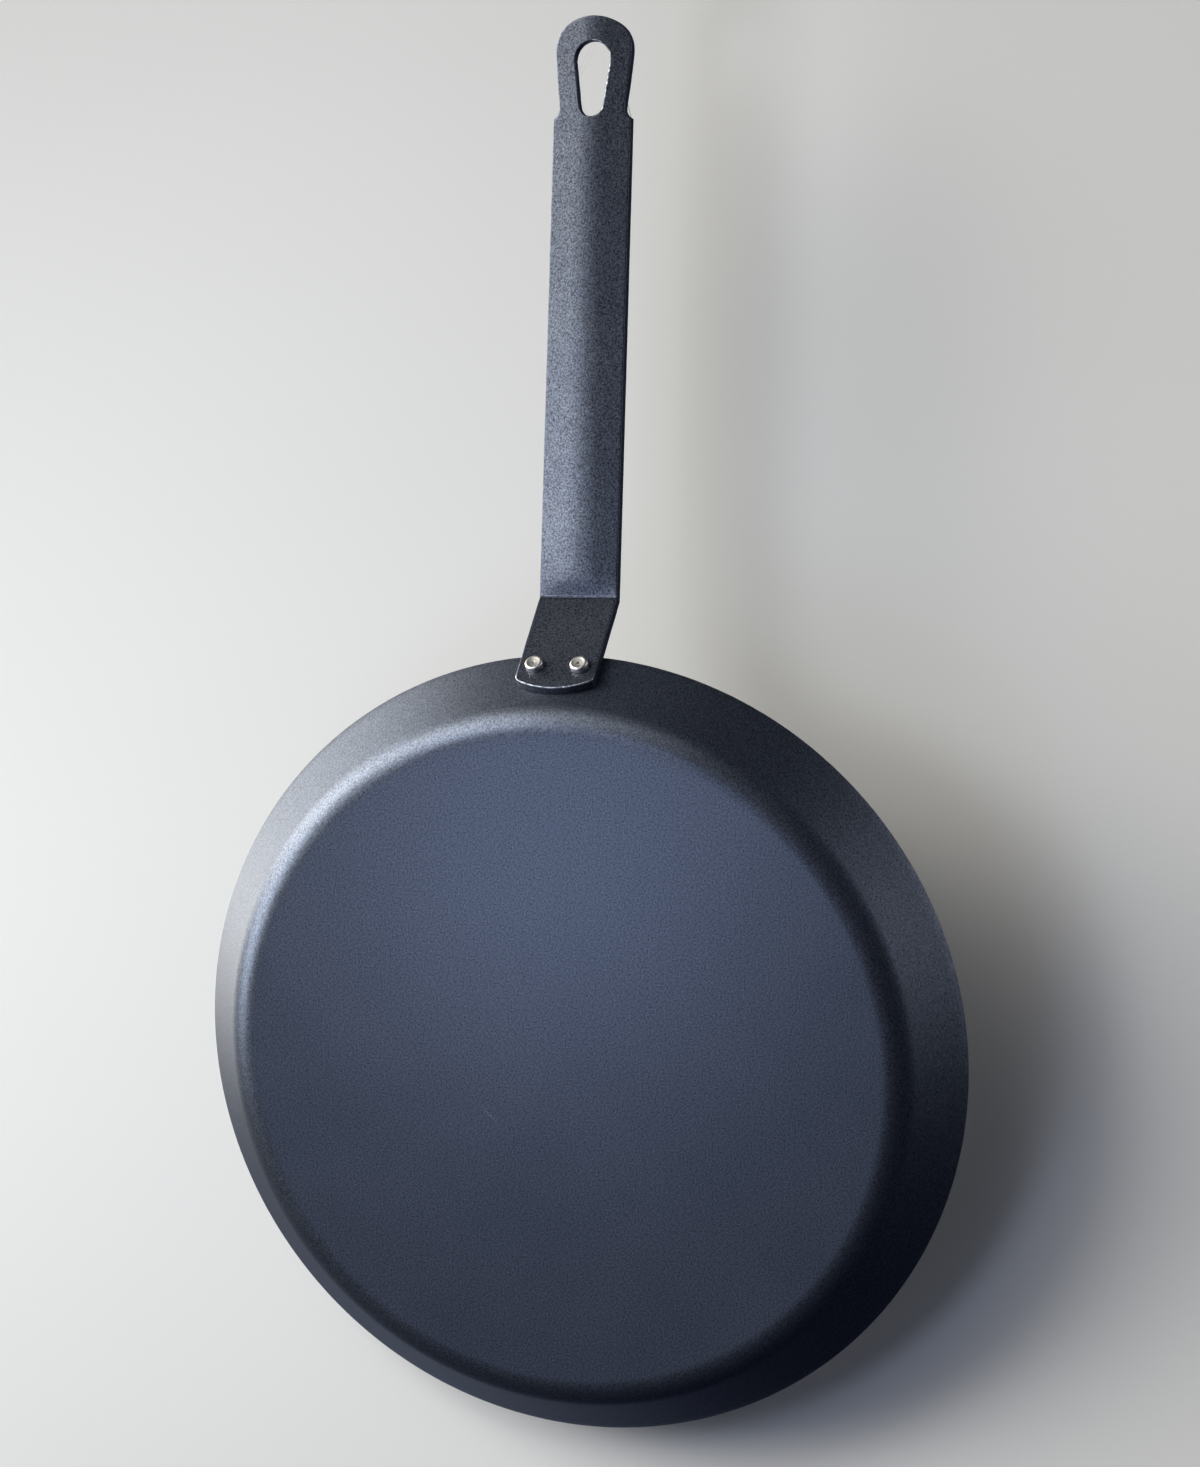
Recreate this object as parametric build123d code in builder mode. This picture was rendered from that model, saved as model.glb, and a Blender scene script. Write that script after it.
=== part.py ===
"""Pressed black-steel frying pan: a shallow flared body, a bent strip handle with a
hanging loop, and two solid rivets that hold the handle to the wall.

Frame: millimetres, +Z up, the pan standing on its base. The origin is the centre of
the flat outer face of the base, and the handle runs along +X. The left rivet is the
one at -Y, on the left when seen from the handle's free end.
"""

from build123d import *

import os
from math import cos, radians, sin, tan

os.makedirs("parts", exist_ok=True)

# ---- pan body sizes ---------------------------------------------------------
rim_radius = 140.0  # outer edge of the wall: a 28 cm pan
base_flat_radius = 115.0  # flat part of the base
knuckle_radius = 14.0  # outer bend between base and wall
wall_angle = 51.6  # wall above the horizontal, degrees
sheet = 2.5  # body sheet thickness
rim_round = 0.7  # both edges of the cut rim are eased

# ---- handle sizes -----------------------------------------------------------
strip_width = 28.5
strip_thickness = 3.5  # on the centre line
saddle_depth = 0.52  # the strip's upper face is hollow by this much over its width
rim_to_crease = 23.57  # along the wall line, rim to the inside of the bend
crease_radius = 0.3  # inside of the bend
grip_angle = 13.0  # grip above the horizontal, degrees

tab_length = 42.0  # crease to the end that lies on the wall
tab_spare = 1.0  # extra length, cut away when the end is rounded
tab_end_radius = 28.5
tab_corner_radius = 2.4
tab_top = 20.0  # the tab's end corners lie below this height

# the grip is pressed to a shallow V:
# (distance from the crease, facet angle, half width of the rounded ridge)
bend_ridge = 9.0
v_stations = [
    (2.0, 3.0, 8.2),
    (4.0, 6.0, 7.6),
    (6.0, 7.8, 7.2),
    (9.0, 8.7, 6.9),
    (14.0, 9.0, 6.7),
    (22.0, 9.0, 6.6),
    (210.0, 9.0, 3.8),  # past the loop's tip, which is cut to shape later
]

# hanging loop: (distance along the grip from the crease, half width)
neck_at, neck_half_width = 171.2, 12.05
shoulder_radius = 3.4
loop_outline = [
    (177.0, 12.6),
    (183.5, 13.3),
    (189.0, 13.8),
    (193.5, 13.85),
    (197.7, 12.6),
    (200.6, 10.3),
    (202.9, 6.2),
]
loop_tip = 204.0
slot_top_radius, slot_top_centre = 6.5, 188.6
slot_foot_radius, slot_foot_centre = 4.4, 173.0

# ---- rivet sizes ------------------------------------------------------------
rivet_from_crease = 32.0
rivet_pitch = 16.4
hole_radius = 2.1
shank_radius = 2.08
shank_overlap = 0.5  # the shank runs this far into the head
tail_radius = 3.2  # formed end, outside the handle
tail_height = 2.2
tail_chamfer = 0.5
tail_dish = 0.3
tail_dish_radius = tail_radius - 1.1
head_radius = 5.25  # factory head, inside the pan
head_height = 1.9
head_rim = 0.5  # height of the head at its edge
head_start = 1.0  # the head's blank starts within the sheet, which trims it

# ---- cutter sizes, all larger than what they cut ----------------------------
hole_cut = 10.0  # depths, each way from the sketch
tab_cut = 8.0
loop_cut = 20.0
tab_cutter_length, tab_cutter_width = 20.0, strip_width + 6
loop_cutter_end, loop_cutter_half_width = 215.0, 20.0


# ---- pan geometry, as (radius, z) -------------------------------------------
wall_slope, grip_slope = radians(wall_angle), radians(grip_angle)
inner_knuckle = knuckle_radius - sheet


def on_knuckle(radius, angle):
    """A point on an arc about the knuckle's centre, at an angle up from its lowest point."""
    return (base_flat_radius + radius * sin(angle), knuckle_radius - radius * cos(angle))


wall_foot = on_knuckle(knuckle_radius, wall_slope)
inner_foot = on_knuckle(inner_knuckle, wall_slope)
rim_outer = (rim_radius, wall_foot[1] + (rim_radius - wall_foot[0]) * tan(wall_slope))
rim_inner = (rim_outer[0] - sheet * sin(wall_slope), rim_outer[1] + sheet * cos(wall_slope))


# ---- handle geometry, as (x, z) ---------------------------------------------
def by_wall(distance, out=0.0):
    """(x, z) at a distance above the rim along the wall line, and out from the wall's face."""
    return (
        rim_outer[0] + distance * cos(wall_slope) + out * sin(wall_slope),
        rim_outer[1] + distance * sin(wall_slope) - out * cos(wall_slope),
    )


side_height = strip_thickness + saddle_depth
half = strip_width / 2
crease = by_wall(rim_to_crease, strip_thickness)
# from the crease corner to either end of its arc
crease_run = crease_radius * tan((wall_slope - grip_slope) / 2)
bend_from = by_wall(rim_to_crease - crease_run, strip_thickness)
bend_centre = by_wall(rim_to_crease - crease_run, strip_thickness + crease_radius)
hole_at = by_wall(rim_to_crease - rivet_from_crease)


def on_grip(distance):
    """(x, z) at a distance from the crease along the grip's lower edges."""
    return (crease[0] + distance * cos(grip_slope), crease[1] + distance * sin(grip_slope))


def across(at, slope, side_y=0.0):
    """A plane across the strip: its y points up through the strip, its x across it."""
    return Plane(
        origin=(at[0], side_y, at[1]),
        x_dir=(0, 1, 0),
        z_dir=(cos(slope), 0, sin(slope)),
    )


def along(slope):
    """A plane through the crease: its x runs up the strip, its y across it."""
    return Plane(
        origin=(crease[0], 0, crease[1]),
        x_dir=(cos(slope), 0, sin(slope)),
        z_dir=(-sin(slope), 0, cos(slope)),
    )


def hole_plane(side):
    """A plane on the wall's outer face at a rivet, facing into the pan."""
    return Plane(
        origin=(hole_at[0], side * rivet_pitch / 2, hole_at[1]),
        z_dir=(-sin(wall_slope), 0, cos(wall_slope)),
    )


def ridge_depths(facet_angle, ridge):
    """How far the ridge's edges and its middle stand below the strip's lower edges."""
    facet = radians(facet_angle)
    edge = (half - ridge) * tan(facet)
    return edge, edge + ridge * tan(facet / 2)


def upper_face(offset):
    """Height of the unpressed strip's hollow upper face, at an offset from its middle."""
    return strip_thickness + saddle_depth * (offset / half) ** 2


def cap_middle(radius, edge, apex):
    """A point halfway along a cap centred on a revolve axis, from its edge to its apex."""
    sag = apex - edge
    sphere = (sag**2 + radius**2) / (2 * sag)
    x = radius / 2
    return (x, apex - sphere + (sphere**2 - x**2) ** 0.5)


# ---- pan_body ---------------------------------------------------------------
with BuildPart() as pan_body:
    with BuildSketch(Plane.XZ) as pan_profile:
        with BuildLine():
            Line((0, 0), (base_flat_radius, 0))
            ThreePointArc(
                (base_flat_radius, 0),
                on_knuckle(knuckle_radius, wall_slope / 2),
                wall_foot,
            )
            Polyline(wall_foot, rim_outer, rim_inner, inner_foot)
            ThreePointArc(
                inner_foot,
                on_knuckle(inner_knuckle, wall_slope / 2),
                (base_flat_radius, sheet),
            )
            Polyline((base_flat_radius, sheet), (0, sheet), (0, 0))
        make_face()
        fillet(pan_profile.vertices().sort_by(Axis.Y)[-2:], radius=rim_round)
    revolve(axis=Axis.Z)
    blank = pan_body.part  # before piercing: the tab and the rivet heads bed on it

    for side in (-1, 1):
        with BuildSketch(hole_plane(side)):
            Circle(hole_radius)
        extrude(amount=hole_cut, both=True, mode=Mode.SUBTRACT)
pan_body.part.label = "pan_body"

# ---- handle -----------------------------------------------------------------
with BuildPart() as handle:
    # tab: straight down from the bend, along the wall
    with BuildSketch(across(bend_from, wall_slope)) as flat_section:
        with BuildLine():
            Polyline((-half, side_height), (-half, 0), (half, 0), (half, side_height))
            Line((half, side_height), (bend_ridge, upper_face(bend_ridge)))
            ThreePointArc(
                (bend_ridge, upper_face(bend_ridge)),
                (0, strip_thickness),
                (-bend_ridge, upper_face(bend_ridge)),
            )
            Line((-bend_ridge, upper_face(bend_ridge)), (-half, side_height))
        make_face()
    extrude(amount=-(tab_length + tab_spare - crease_run))

    # bend: the same section turned about the inside of the crease
    with BuildSketch(across(bend_from, wall_slope)):
        add(flat_section.sketch_local)
    revolve(
        axis=Axis((bend_centre[0], 0, bend_centre[1]), (0, 1, 0)),
        revolution_arc=wall_angle - grip_angle,
    )

    # grip: goes from flat at the bend to the shallow V, in straight runs between stations
    for distance, facet_angle, ridge in [(crease_run, 0.0, bend_ridge)] + v_stations:
        edge, middle = ridge_depths(facet_angle, ridge)
        upper_edge = upper_face(ridge) - edge
        with BuildSketch(across(on_grip(distance), grip_slope)):
            with BuildLine():
                Line((-half, 0), (-ridge, -edge))
                if facet_angle:
                    ThreePointArc((-ridge, -edge), (0, -middle), (ridge, -edge))
                else:
                    Line((-ridge, 0), (ridge, 0))
                Line((ridge, -edge), (half, 0))
                Line((half, 0), (half, side_height))
                Line((half, side_height), (ridge, upper_edge))
                ThreePointArc(
                    (ridge, upper_edge),
                    (0, strip_thickness - middle),
                    (-ridge, upper_edge),
                )
                Line((-ridge, upper_edge), (-half, side_height))
                Line((-half, side_height), (-half, 0))
            make_face()
    loft(ruled=True)

    # tab end: a shallow arc with rounded corners
    with BuildSketch(along(wall_slope)):
        with Locations((-tab_length - 5, 0)):
            Rectangle(tab_cutter_length, tab_cutter_width)
        with Locations((-tab_length + tab_end_radius, 0)):
            Circle(tab_end_radius, mode=Mode.SUBTRACT)
    extrude(amount=tab_cut, both=True, mode=Mode.SUBTRACT)
    corners = [
        line
        for line in handle.edges().filter_by(GeomType.LINE)
        if abs(abs(line.center().Y) - half) < 1e-3
        and line.center().Z < tab_top
        and line.length < side_height + 0.1
    ]
    fillet(corners, radius=tab_corner_radius)

    # hanging slot: teardrop, wide end at the tip, its sides tangent to both end arcs
    lean = (slot_top_radius - slot_foot_radius) / (slot_top_centre - slot_foot_centre)
    rise = (1 - lean**2) ** 0.5
    top_x, top_y = slot_top_centre - slot_top_radius * lean, slot_top_radius * rise
    foot_x, foot_y = slot_foot_centre - slot_foot_radius * lean, slot_foot_radius * rise
    with BuildSketch(along(grip_slope)):
        with BuildLine():
            ThreePointArc(
                (top_x, top_y),
                (slot_top_centre + slot_top_radius, 0),
                (top_x, -top_y),
            )
            Line((top_x, -top_y), (foot_x, -foot_y))
            ThreePointArc(
                (foot_x, -foot_y),
                (slot_foot_centre - slot_foot_radius, 0),
                (foot_x, foot_y),
            )
            Line((foot_x, foot_y), (top_x, top_y))
        make_face()
    extrude(amount=loop_cut, both=True, mode=Mode.SUBTRACT)

    # hanging loop: shoulders, neck and rounded tip cut from the strip
    shoulder_at = neck_at - shoulder_radius
    shoulder_top = (shoulder_at, neck_half_width + shoulder_radius)
    cutter_corner = (shoulder_at, loop_cutter_half_width)
    with BuildSketch(along(grip_slope)):
        with BuildLine():
            Line(cutter_corner, shoulder_top)
            ThreePointArc(
                shoulder_top,
                (
                    neck_at - shoulder_radius * 0.5**0.5,
                    neck_half_width + shoulder_radius * (1 - 0.5**0.5),
                ),
                (neck_at, neck_half_width),
            )
            Spline(
                (neck_at, neck_half_width),
                *loop_outline,
                (loop_tip, 0),
                tangents=[(1, 0), (0, -1)],
            )
            Polyline(
                (loop_tip, 0),
                (loop_cutter_end, 0),
                (loop_cutter_end, loop_cutter_half_width),
                cutter_corner,
            )
        make_face()
        mirror(about=Plane.XZ)
    extrude(amount=loop_cut, both=True, mode=Mode.SUBTRACT)

    # the tab beds on the wall, and two rivets pass through it
    add(blank, mode=Mode.SUBTRACT)
    for side in (-1, 1):
        with BuildSketch(hole_plane(side)):
            Circle(hole_radius)
        extrude(amount=hole_cut, both=True, mode=Mode.SUBTRACT)
handle.part.label = "handle"

# ---- rivets -----------------------------------------------------------------
# In each rivet's sketches, x is the radius and y points into the pan, from the wall's outer face.
head_edge, head_top = sheet + head_rim, sheet + head_height
shank_top = sheet + shank_overlap
tail_top = -strip_thickness
tail_face = tail_top - tail_height
dish_bottom = tail_face + tail_dish

for side, rivet_name in ((-1, "rivet_left"), (1, "rivet_right")):
    rivet_plane = across(hole_at, wall_slope, side * rivet_pitch / 2)
    rivet_axis = Axis(rivet_plane.origin, rivet_plane.y_dir)
    with BuildPart() as rivet:
        # factory head: a low dome bedded on the inside of the wall
        with BuildSketch(rivet_plane):
            with BuildLine():
                Polyline((0, head_start), (head_radius, head_start), (head_radius, head_edge))
                ThreePointArc(
                    (head_radius, head_edge),
                    cap_middle(head_radius, head_edge, head_top),
                    (0, head_top),
                )
                Line((0, head_top), (0, head_start))
            make_face()
        revolve(axis=rivet_axis)
        add(blank, mode=Mode.SUBTRACT)

        # shank and formed tail: a short button with a dished face
        with BuildSketch(rivet_plane):
            with BuildLine():
                Polyline(
                    (0, shank_top),
                    (shank_radius, shank_top),
                    (shank_radius, tail_top),
                    (tail_radius, tail_top),
                    (tail_radius, tail_face + tail_chamfer),
                    (tail_radius - tail_chamfer, tail_face),
                    (tail_dish_radius, tail_face),
                )
                ThreePointArc(
                    (tail_dish_radius, tail_face),
                    cap_middle(tail_dish_radius, tail_face, dish_bottom),
                    (0, dish_bottom),
                )
                Line((0, dish_bottom), (0, shank_top))
            make_face()
        revolve(axis=rivet_axis)
    rivet.part.label = rivet_name
    export_step(rivet.part, f"parts/{rivet_name}.step")

export_step(pan_body.part, "parts/pan_body.step")
export_step(handle.part, "parts/handle.step")
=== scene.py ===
"""A round pressed-steel pan with a strip handle held by two rivets.

The underside lies on z = 0 round the origin, and the handle leaves along +X and climbs.
Left is -Y and right is +Y, as seen from the handle's end looking back at the pan.
Geometry is worked out in millimetres; materials and staging are in metres.
"""
import bpy
import math
import numpy as np
from mathutils import Matrix, Vector
from mathutils.geometry import delaunay_2d_cdt


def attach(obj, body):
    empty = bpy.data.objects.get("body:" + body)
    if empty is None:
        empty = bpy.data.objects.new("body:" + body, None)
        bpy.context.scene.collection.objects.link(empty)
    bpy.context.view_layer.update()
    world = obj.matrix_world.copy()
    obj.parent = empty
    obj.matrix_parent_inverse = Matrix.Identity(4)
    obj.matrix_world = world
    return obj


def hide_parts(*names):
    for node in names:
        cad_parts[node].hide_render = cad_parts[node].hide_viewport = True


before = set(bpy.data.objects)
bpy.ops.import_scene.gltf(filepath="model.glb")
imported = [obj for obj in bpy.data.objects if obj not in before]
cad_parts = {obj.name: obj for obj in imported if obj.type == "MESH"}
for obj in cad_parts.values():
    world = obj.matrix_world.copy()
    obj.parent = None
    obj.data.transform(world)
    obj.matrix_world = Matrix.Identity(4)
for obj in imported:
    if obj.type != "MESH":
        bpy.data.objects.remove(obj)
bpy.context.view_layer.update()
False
MM = 0.001
scene = bpy.context.scene

# ---------------------------------------------------------------- main dimensions, mm
RIM_R = 140.0
BASE_R = 115.0
KNUCKLE = 14.0  # outer radius of the bend from base to wall
WALL = math.radians(51.6)  # wall slope above the horizontal
SHEET = 2.5  # pan wall thickness
RIM_ROUND = 0.7

# The handle is a strip: u runs along it from the crease (minus on the wall), v across, h up.
HALF = 14.25  # half width
THICK = 3.5
SADDLE = 0.52  # extra thickness at the sides
RIM_TO_CREASE = 23.57
TAB_LEN = 42.0  # the part that lies on the wall
RIVET_U = 32.0  # from the crease to the rivets
GRIP = math.radians(13.0)  # grip slope above the horizontal

FOOT = (BASE_R + KNUCKLE * math.sin(WALL), KNUCKLE * (1 - math.cos(WALL)))
RIM_OUT = (RIM_R, FOOT[1] + (RIM_R - FOOT[0]) * math.tan(WALL))
TAB_DIR = np.array([math.cos(WALL), 0, math.sin(WALL)])
GRIP_DIR = np.array([math.cos(GRIP), 0, math.sin(GRIP)])


def by_wall(along, out=0.0):
    """(x, z) at a distance up the wall's outer face from the rim, and out from that face."""
    return (
        RIM_OUT[0] + along * math.cos(WALL) + out * math.sin(WALL),
        RIM_OUT[1] + along * math.sin(WALL) - out * math.cos(WALL),
    )


# ---------------------------------------------------------------- mesh helpers
def make_mesh(name, verts, faces, mat, attrs):
    """A smooth-shaded mesh from vertices in millimetres, with float attributes on its points."""
    mesh = bpy.data.meshes.new(name)
    mesh.from_pydata((np.asarray(verts, float) * MM).tolist(), [], faces)
    mesh.polygons.foreach_set("use_smooth", np.ones(len(mesh.polygons), bool))
    for key, values in attrs.items():
        attr = mesh.attributes.new(key, "FLOAT", "POINT")
        attr.data.foreach_set("value", np.asarray(values, np.float32))
    mesh.materials.append(mat)
    mesh.update()
    obj = bpy.data.objects.new(name, mesh)
    scene.collection.objects.link(obj)
    return obj


def stand_in(obj, piece):
    """Lets a visual object take the place of a CAD piece."""
    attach(obj, "root")
    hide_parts(piece)


def lathe(profile, seg, origin=(0, 0, 0), axis=(0, 0, 1), side=(1, 0, 0), wobble=None):
    """Turns (radius, height, mark) rows, first and last on the axis, into a closed mesh.

    Returns the vertices, the faces and each vertex's mark.
    """
    axis, side, origin = (np.array(vec, float) for vec in (axis, side, origin))
    other = np.cross(axis, side)
    rows = np.array(profile, float)
    angles = np.arange(seg) * 2 * math.pi / seg
    rings = rows[1:-1]
    factor = np.ones(seg) if wobble is None else wobble(angles)
    spokes = np.cos(angles)[:, None] * side + np.sin(angles)[:, None] * other
    radii = rings[:, 0][:, None] * factor[None, :]
    body = origin + rings[:, 1][:, None, None] * axis + radii[:, :, None] * spokes[None]
    ends = [[origin + axis * rows[k, 1]] for k in (0, -1)]
    verts = np.vstack([ends[0], body.reshape(-1, 3), ends[1]])
    count = len(rings)
    last = len(verts) - 1
    faces = []
    for j in range(seg):
        k = (j + 1) % seg
        faces.append((0, 1 + k, 1 + j))
        faces.append((last, 1 + (count - 1) * seg + j, 1 + (count - 1) * seg + k))
    for i in range(count - 1):
        here, after = 1 + i * seg, 1 + (i + 1) * seg
        for j in range(seg):
            k = (j + 1) % seg
            faces.append((here + j, here + k, after + k, after + j))
    row_of = np.concatenate([[0], np.repeat(np.arange(1, count + 1), seg), [count + 1]])
    return verts, faces, rows[row_of, 2]


def arc(cx, cy, radius, start, end, count):
    """Points on an arc between two angles in degrees."""
    angles = np.radians(np.linspace(start, end, count))
    return [(cx + radius * math.cos(t), cy + radius * math.sin(t)) for t in angles]


# ---------------------------------------------------------------- node helpers
class Nodes:
    """Short ways to add nodes to a tree; each returns an output socket."""

    def __init__(self, tree):
        self.tree = tree
        tree.nodes.clear()

    def node(self, kind):
        return self.tree.nodes.new(kind)

    def link(self, source, target):
        self.tree.links.new(source, target)

    def put(self, socket, value):
        if isinstance(value, bpy.types.NodeSocket):
            self.link(value, socket)
        else:
            socket.default_value = value

    def math(self, operation, first, second=None, clamp=False):
        node = self.node("ShaderNodeMath")
        node.operation = operation
        node.use_clamp = clamp
        self.put(node.inputs[0], first)
        if second is not None:
            self.put(node.inputs[1], second)
        return node.outputs[0]

    def add(self, first, second):
        return self.math("ADD", first, second)

    def sub(self, first, second, clamp=False):
        return self.math("SUBTRACT", first, second, clamp)

    def mul(self, first, second, clamp=False):
        return self.math("MULTIPLY", first, second, clamp)

    def max(self, first, second):
        return self.math("MAXIMUM", first, second)

    def swing(self, noise, gain):
        """A noise centred on zero, times a gain."""
        return self.mul(self.sub(noise, 0.5), gain)

    def vmath(self, operation, first, second=None, out=0):
        node = self.node("ShaderNodeVectorMath")
        node.operation = operation
        self.put(node.inputs[0], first)
        if second is not None:
            self.put(node.inputs[1], second)
        return node.outputs[out]

    def dot(self, first, second):
        return self.vmath("DOT_PRODUCT", first, second, out=1)

    def scale(self, vector, factor):
        node = self.node("ShaderNodeVectorMath")
        node.operation = "SCALE"
        self.put(node.inputs[0], vector)
        self.put(node.inputs["Scale"], factor)
        return node.outputs[0]

    def mix(self, share, base, over):
        node = self.node("ShaderNodeMix")
        node.data_type = "RGBA"
        for slot, value in ((0, share), (6, base), (7, over)):
            self.put(node.inputs[slot], value)
        return node.outputs[2]

    def mix_float(self, share, base, over):
        node = self.node("ShaderNodeMix")
        node.data_type = "FLOAT"
        for slot, value in ((0, share), (2, base), (3, over)):
            self.put(node.inputs[slot], value)
        return node.outputs[0]

    def step(self, value, zero, one):
        """A smooth step: 0 where the value is at `zero`, 1 where it is at `one`."""
        node = self.node("ShaderNodeMapRange")
        node.interpolation_type = "SMOOTHSTEP"
        node.clamp = True
        for slot, item in enumerate((value, zero, one)):
            self.put(node.inputs[slot], item)
        return node.outputs[0]

    def coords(self, kind="Object"):
        return self.node("ShaderNodeTexCoord").outputs[kind]

    def attribute(self, name):
        node = self.node("ShaderNodeAttribute")
        node.attribute_name = name
        return node.outputs["Fac"]

    def height_of(self, vector):
        node = self.node("ShaderNodeSeparateXYZ")
        self.link(vector, node.inputs[0])
        return node.outputs[2]

    def noise(self, vector, scale, detail=2.0, rough=0.5):
        node = self.node("ShaderNodeTexNoise")
        self.link(vector, node.inputs["Vector"])
        node.inputs["Scale"].default_value = scale
        node.inputs["Detail"].default_value = detail
        node.inputs["Roughness"].default_value = rough
        return node.outputs[0]

    def mapping(self, vector, rot=(0, 0, 0), scale=(1, 1, 1), loc=(0, 0, 0)):
        node = self.node("ShaderNodeMapping")
        for slot, value in enumerate((vector, loc, rot, scale)):
            self.put(node.inputs[slot], value)
        return node.outputs[0]

    def specks(self, vector, scale, radius, share):
        """Small round dots in a share of the cells."""
        cells = self.node("ShaderNodeTexVoronoi")
        self.link(vector, cells.inputs["Vector"])
        cells.inputs["Scale"].default_value = scale
        draw = self.node("ShaderNodeSeparateColor")
        self.link(cells.outputs["Color"], draw.inputs[0])
        dots = self.step(cells.outputs["Distance"], zero=radius, one=radius * 0.4)
        picked = self.math("LESS_THAN", draw.outputs[0], share)
        return self.mul(self.mul(dots, picked), draw.outputs[1])

    def grain_gain(self, coarse, coarse_gain, fine, fine_gain, least):
        """A brightness factor round 1 from two grains, never below `least`."""
        both = self.add(self.swing(coarse, coarse_gain), self.swing(fine, fine_gain))
        return self.max(self.add(both, 1.0), least)

    def bump(self, height, strength, distance, normal=None):
        node = self.node("ShaderNodeBump")
        self.put(node.inputs["Strength"], strength)
        self.put(node.inputs["Distance"], distance)
        self.link(height, node.inputs["Height"])
        if normal is not None:
            self.link(normal, node.inputs["Normal"])
        return node.outputs[0]

    def finish(self, color, metallic, rough, normal):
        shader = self.node("ShaderNodeBsdfPrincipled")
        self.put(shader.inputs["Base Color"], color)
        self.put(shader.inputs["Metallic"], metallic)
        self.put(shader.inputs["Roughness"], rough)
        self.link(normal, shader.inputs["Normal"])
        self.output(shader)

    def mix_shaders(self, share, base, over):
        node = self.node("ShaderNodeMixShader")
        self.link(share, node.inputs[0])
        self.link(base.outputs[0], node.inputs[1])
        self.link(over.outputs[0], node.inputs[2])
        return node

    def output(self, shader, kind="ShaderNodeOutputMaterial"):
        self.link(shader.outputs[0], self.node(kind).inputs[0])


def material(name, view=(0.5, 0.5, 0.5, 1)):
    mat = bpy.data.materials.new(name)
    mat.use_nodes = True
    mat.diffuse_color = view
    return mat, Nodes(mat.node_tree)


def rgb(red, green, blue):
    return (red, green, blue, 1.0)


# ---------------------------------------------------------------- pan steel
UNDERSIDE_TOP = 0.0004  # m; the scratches stay below this height
# Light scratches on the underside: start, end, half width (mm), strength.
SCRATCHES = (
    ((-16.0, -31.0), (-23.2, -24.6), 0.13, 1.0),
    ((-17.6, -30.6), (-22.0, -25.2), 0.10, 0.8),
    ((-19.6, -27.9), (-24.3, -23.4), 0.09, 0.7),
    ((-15.1, -28.9), (-18.3, -26.6), 0.09, 0.55),
    ((-20.4, -30.2), (-23.9, -29.4), 0.08, 0.45),
    ((-40.0, 33.0), (-41.6, 35.9), 0.08, 0.5),
    ((31.0, -50.5), (29.5, -48.6), 0.08, 0.4),
)


def scratch(nodes, coords, start, end, width, strength):
    """One line that is full in the middle and fades at both ends."""
    (x0, y0), (x1, y1) = start, end
    length = math.hypot(x1 - x0, y1 - y0)
    tx, ty = (x1 - x0) / length, (y1 - y0) / length
    offset = nodes.vmath("SUBTRACT", coords, (x0 * MM, y0 * MM, 0))
    along = nodes.dot(offset, (tx, ty, 0))
    across = nodes.math("ABSOLUTE", nodes.dot(offset, (-ty, tx, 0)))
    span = nodes.mul(
        nodes.step(along, zero=0.0, one=length * MM * 0.3),
        nodes.step(along, zero=length * MM, one=length * MM * 0.65),
    )
    line = nodes.mul(nodes.step(across, zero=width * MM, one=width * MM * 0.25), span)
    return nodes.mul(line, strength)


def underside_scratches(nodes, coords):
    under = nodes.math("LESS_THAN", nodes.height_of(coords), UNDERSIDE_TOP)
    group = None
    for row in SCRATCHES:
        line = scratch(nodes, coords, *row)
        group = line if group is None else nodes.max(group, line)
    group = nodes.mul(group, under)
    breaks = nodes.noise(coords, scale=2400, detail=1.0, rough=0.5)
    return nodes.mul(group, nodes.step(breaks, zero=0.34, one=0.6))


def hairlines(nodes, coords):
    """Sparse hairline scratches in two directions."""
    sets = []
    for turn, shift in ((0.62, 0.0), (-0.9, 3.1)):
        drawn = nodes.mapping(
            coords, rot=(0, 0, turn), scale=(0.035, 1, 1), loc=(shift, shift, 0)
        )
        lines = nodes.noise(drawn, scale=1500, detail=1.0, rough=0.4)
        moved = nodes.mapping(coords, loc=(shift * 2, 5, 1))
        gate = nodes.noise(moved, scale=34, detail=1.0, rough=0.5)
        lines = nodes.step(lines, zero=0.735, one=0.80)
        sets.append(nodes.mul(lines, nodes.step(gate, zero=0.60, one=0.70)))
    return nodes.max(*sets)


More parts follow.
